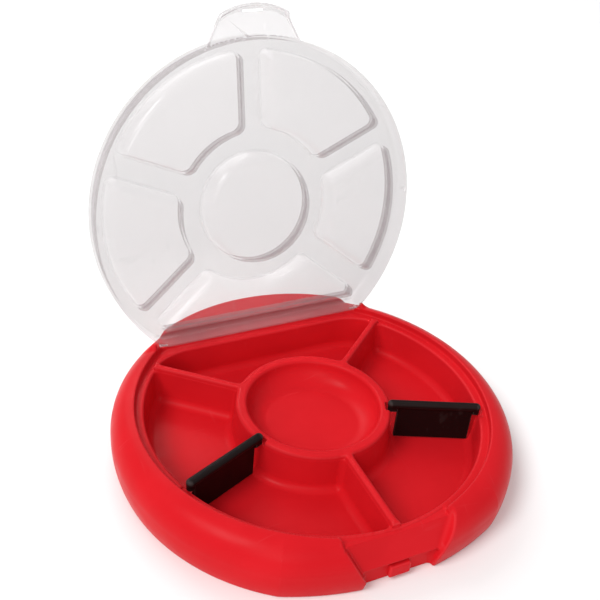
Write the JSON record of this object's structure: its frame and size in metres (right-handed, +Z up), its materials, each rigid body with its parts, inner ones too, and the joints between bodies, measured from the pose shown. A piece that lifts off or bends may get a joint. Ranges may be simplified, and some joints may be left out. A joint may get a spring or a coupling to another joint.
{
  "type": "round parts tray",
  "caption": "Round moulded tray for small parts with fixed walls, a centre dish, lift-out dividers and a hinged see-through lid with a finger tab.",
  "frame": {"origin": "centre of the tray's round foot, on the surface it stands on", "axes": "+Z up, -Y towards the finger notch at the front, the lid hinge along X at the back"},
  "size_m": [0.26, 0.2646, 0.2541],
  "materials": {
    "tray": "satin moulded polypropylene, red",
    "lid": "milky translucent polypropylene",
    "divider": "satin black plastic"
  },
  "bodies": {
    "tray": {"base_tray": "tray"},
    "lid": {"lid": "lid"},
    "left_divider": {"left_divider": "divider"},
    "right_divider": {"right_divider": "divider"}
  },
  "joints": [
    {"name": "lid_hinge", "type": "hinge", "parent": "tray", "child": "lid", "pos_m": [0, 0.0859, 0.037], "axis": [-1, 0, 0], "range_deg": [-102.6, 0]},
    {"name": "left_divider_lift", "type": "slide", "parent": "tray", "child": "left_divider", "axis": [0, 0, 1], "range_m": [0, 0.06]},
    {"name": "right_divider_lift", "type": "slide", "parent": "tray", "child": "right_divider", "axis": [0, 0, 1], "range_m": [0, 0.06]}
  ]
}
